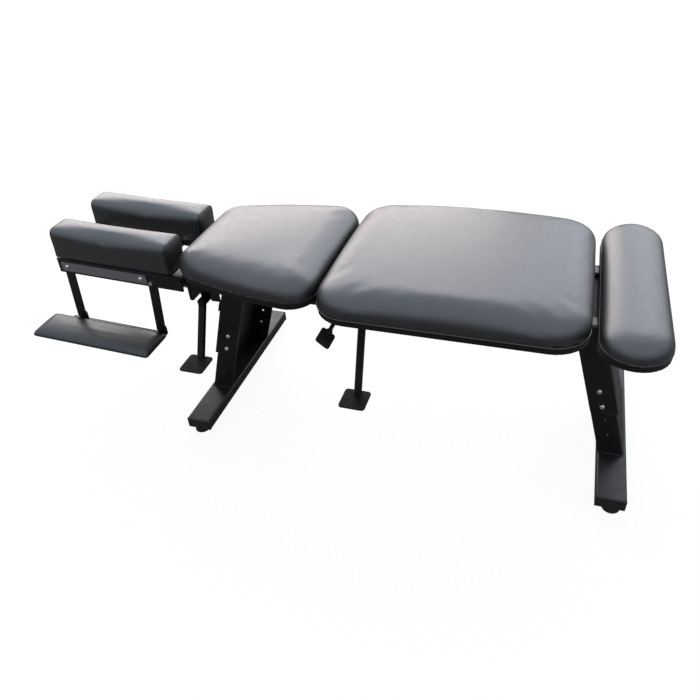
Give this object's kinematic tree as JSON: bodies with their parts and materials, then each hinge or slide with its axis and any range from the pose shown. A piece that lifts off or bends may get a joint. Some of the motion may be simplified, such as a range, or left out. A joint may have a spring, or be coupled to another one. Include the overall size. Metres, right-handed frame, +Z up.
{
  "type": "chiropractic table",
  "caption": "Chiropractic bench table with a tilting headpiece, sliding face cushions, hanging armrests, drop chest and pelvic sections, cocking pedals and a tension lever.",
  "frame": {"origin": "on the floor, under the middle of the table's length and width", "axes": "+X from the head end to the foot end, +Y to the side without pedals, +Z up"},
  "size_m": [1.799, 0.622, 0.5663],
  "materials": {
    "black_frame": "satin",
    "zinc_hardware": "satin",
    "chrome_bar": "polished",
    "side_rail_steel": "satin",
    "black_vinyl": "satin",
    "wrapped_board": "satin",
    "black_rubber": "matte",
    "black_plastic": "matte",
    "nylon": "satin"
  },
  "bodies": {
    "table_frame": {"front_foot_bar": "black_frame", "rear_foot_bar": "black_frame", "plastic_end_caps": "black_plastic", "rubber_feet": "black_rubber", "front_lower_leg": "black_frame", "rear_lower_leg": "black_frame", "front_upper_leg": "black_frame", "rear_upper_leg": "black_frame", "web_doublers": "black_frame", "leg_bolts": "zinc_hardware", "left_rail": "black_frame", "right_rail": "black_frame", "front_end_plate": "black_frame", "cross_tubes": "black_frame", "drop_hinge_shafts": "zinc_hardware", "landing_buffers": "black_rubber", "pedal_brackets": "black_frame", "pedal_pivot_pins": "zinc_hardware", "foot_board": "wrapped_board", "foot_cushion": "black_vinyl", "foot_board_spacers": "zinc_hardware", "tension_bearing_block": "black_frame", "plunger_guide": "black_frame", "tilt_pivot_bolts": "zinc_hardware"},
    "chest_section": {"chest_board": "wrapped_board", "chest_cushion": "black_vinyl", "chest_lift_bar": "black_frame"},
    "pelvic_section": {"pelvic_board": "wrapped_board", "pelvic_cushion": "black_vinyl", "pelvic_lift_bar": "black_frame", "friction_plate": "side_rail_steel"},
    "chest_pedal": {"chest_pedal_lever": "black_frame", "chest_foot_plate": "black_frame"},
    "chest_pedal_roller": {"chest_roller": "nylon"},
    "pelvic_pedal": {"pelvic_pedal_lever": "black_frame", "pelvic_foot_plate": "black_frame"},
    "pelvic_pedal_roller": {"pelvic_roller": "nylon"},
    "tension_lever": {"tension_shaft": "chrome_bar", "tension_paddle": "black_frame", "tension_cam": "zinc_hardware"},
    "plunger": {"tension_plunger": "zinc_hardware"},
    "tilt_clamp": {"tilt_clamp_lever": "black_frame"},
    "head_frame": {"head_side_plates": "black_frame", "head_cross_plates": "black_frame", "head_guide_rods": "chrome_bar", "head_side_rails": "side_rail_steel", "side_rail_screws": "zinc_hardware", "link_pivot_bolts": "zinc_hardware"},
    "left_face": {"left_face_carrier": "black_frame", "left_face_cushion": "black_vinyl"},
    "right_face": {"right_face_carrier": "black_frame", "right_face_cushion": "black_vinyl"},
    "left_outer_link_arm": {"left_outer_link": "black_frame"},
    "left_inner_link_arm": {"left_inner_link": "black_frame"},
    "left_armrest": {"left_armrest_bracket": "black_frame", "left_armrest_pad": "black_vinyl"},
    "right_outer_link_arm": {"right_outer_link": "black_frame"},
    "right_inner_link_arm": {"right_inner_link": "black_frame"},
    "right_armrest": {"right_armrest_bracket": "black_frame", "right_armrest_pad": "black_vinyl"}
  },
  "joints": [
    {"name": "chest_drop", "type": "hinge", "parent": "table_frame", "child": "chest_section", "pos_m": [0.03975, 0, 0.448], "axis": [0, 1, 0], "range_deg": [0, 2.91]},
    {"name": "pelvic_drop", "type": "hinge", "parent": "table_frame", "child": "pelvic_section", "pos_m": [0.70875, 0, 0.448], "axis": [0, 1, 0], "range_deg": [0, 2.01]},
    {"name": "chest_pedal_press", "type": "hinge", "parent": "table_frame", "child": "chest_pedal", "pos_m": [-0.33985, -0.1, 0.3745], "axis": [1, 0, 0], "range_deg": [0, 12]},
    {"name": "chest_roller_spin", "type": "hinge", "parent": "chest_pedal", "child": "chest_pedal_roller", "pos_m": [-0.33985, 0, 0.4492], "axis": [1, 0, 0], "continuous": true},
    {"name": "pelvic_pedal_press", "type": "hinge", "parent": "table_frame", "child": "pelvic_pedal", "pos_m": [0.15065, -0.1, 0.3745], "axis": [1, 0, 0], "range_deg": [0, 12]},
    {"name": "pelvic_roller_spin", "type": "hinge", "parent": "pelvic_pedal", "child": "pelvic_pedal_roller", "pos_m": [0.15065, 0, 0.4492], "axis": [1, 0, 0], "continuous": true},
    {"name": "tension_turn", "type": "hinge", "parent": "table_frame", "child": "tension_lever", "pos_m": [0.09245, -0.124, 0.406], "axis": [0, 1, 0], "range_deg": [-40, 40]},
    {"name": "plunger_slide", "type": "slide", "parent": "table_frame", "child": "plunger", "axis": [1, 0, 0], "range_m": [-0.002, 0.002]},
    {"name": "tilt_clamp_turn", "type": "hinge", "parent": "table_frame", "child": "tilt_clamp", "pos_m": [-0.39485, 0.152, 0.439], "axis": [0, 1, 0], "range_deg": [-45, 45]},
    {"name": "head_tilt", "type": "hinge", "parent": "table_frame", "child": "head_frame", "pos_m": [-0.39485, 0, 0.439], "axis": [0, 1, 0], "range_deg": [-20, 16]},
    {"name": "left_face_slide", "type": "slide", "parent": "head_frame", "child": "left_face", "axis": [0, 1, 0], "range_m": [0, 0.03]},
    {"name": "right_face_slide", "type": "slide", "parent": "head_frame", "child": "right_face", "axis": [0, -1, 0], "range_m": [0, 0.03]},
    {"name": "left_armrest_swing", "type": "hinge", "parent": "head_frame", "child": "left_outer_link_arm", "pos_m": [-0.78735, -0.1365, 0.43612], "axis": [0, 1, 0], "range_deg": [-15, 35]},
    {"name": "left_inner_link_swing", "type": "hinge", "parent": "head_frame", "child": "left_inner_link_arm", "pos_m": [-0.49563, -0.1365, 0.42338], "axis": [0, 1, 0], "range_deg": [-15, 35]},
    {"name": "left_armrest_level", "type": "hinge", "parent": "left_outer_link_arm", "child": "left_armrest", "pos_m": [-0.80514, -0.1365, 0.26102], "axis": [0, 1, 0], "range_deg": [-35, 15]},
    {"name": "right_armrest_swing", "type": "hinge", "parent": "head_frame", "child": "right_outer_link_arm", "pos_m": [-0.78735, 0.1365, 0.43612], "axis": [0, 1, 0], "range_deg": [-15, 35]},
    {"name": "right_inner_link_swing", "type": "hinge", "parent": "head_frame", "child": "right_inner_link_arm", "pos_m": [-0.49563, 0.1365, 0.42338], "axis": [0, 1, 0], "range_deg": [-15, 35]},
    {"name": "right_armrest_level", "type": "hinge", "parent": "right_outer_link_arm", "child": "right_armrest", "pos_m": [-0.80514, 0.1365, 0.26102], "axis": [0, 1, 0], "range_deg": [-35, 15]}
  ],
  "couplings": [
    {"joint": "chest_pedal_press", "follows": "chest_drop", "ratio": 4.12},
    {"joint": "pelvic_pedal_press", "follows": "pelvic_drop", "ratio": 5.97},
    {"joint": "plunger_slide", "follows": "tension_turn", "m_per_rad": 0.00285},
    {"joint": "left_inner_link_swing", "follows": "left_armrest_swing", "ratio": 1},
    {"joint": "left_armrest_level", "follows": "left_armrest_swing", "ratio": -1},
    {"joint": "right_inner_link_swing", "follows": "right_armrest_swing", "ratio": 1},
    {"joint": "right_armrest_level", "follows": "right_armrest_swing", "ratio": -1}
  ]
}
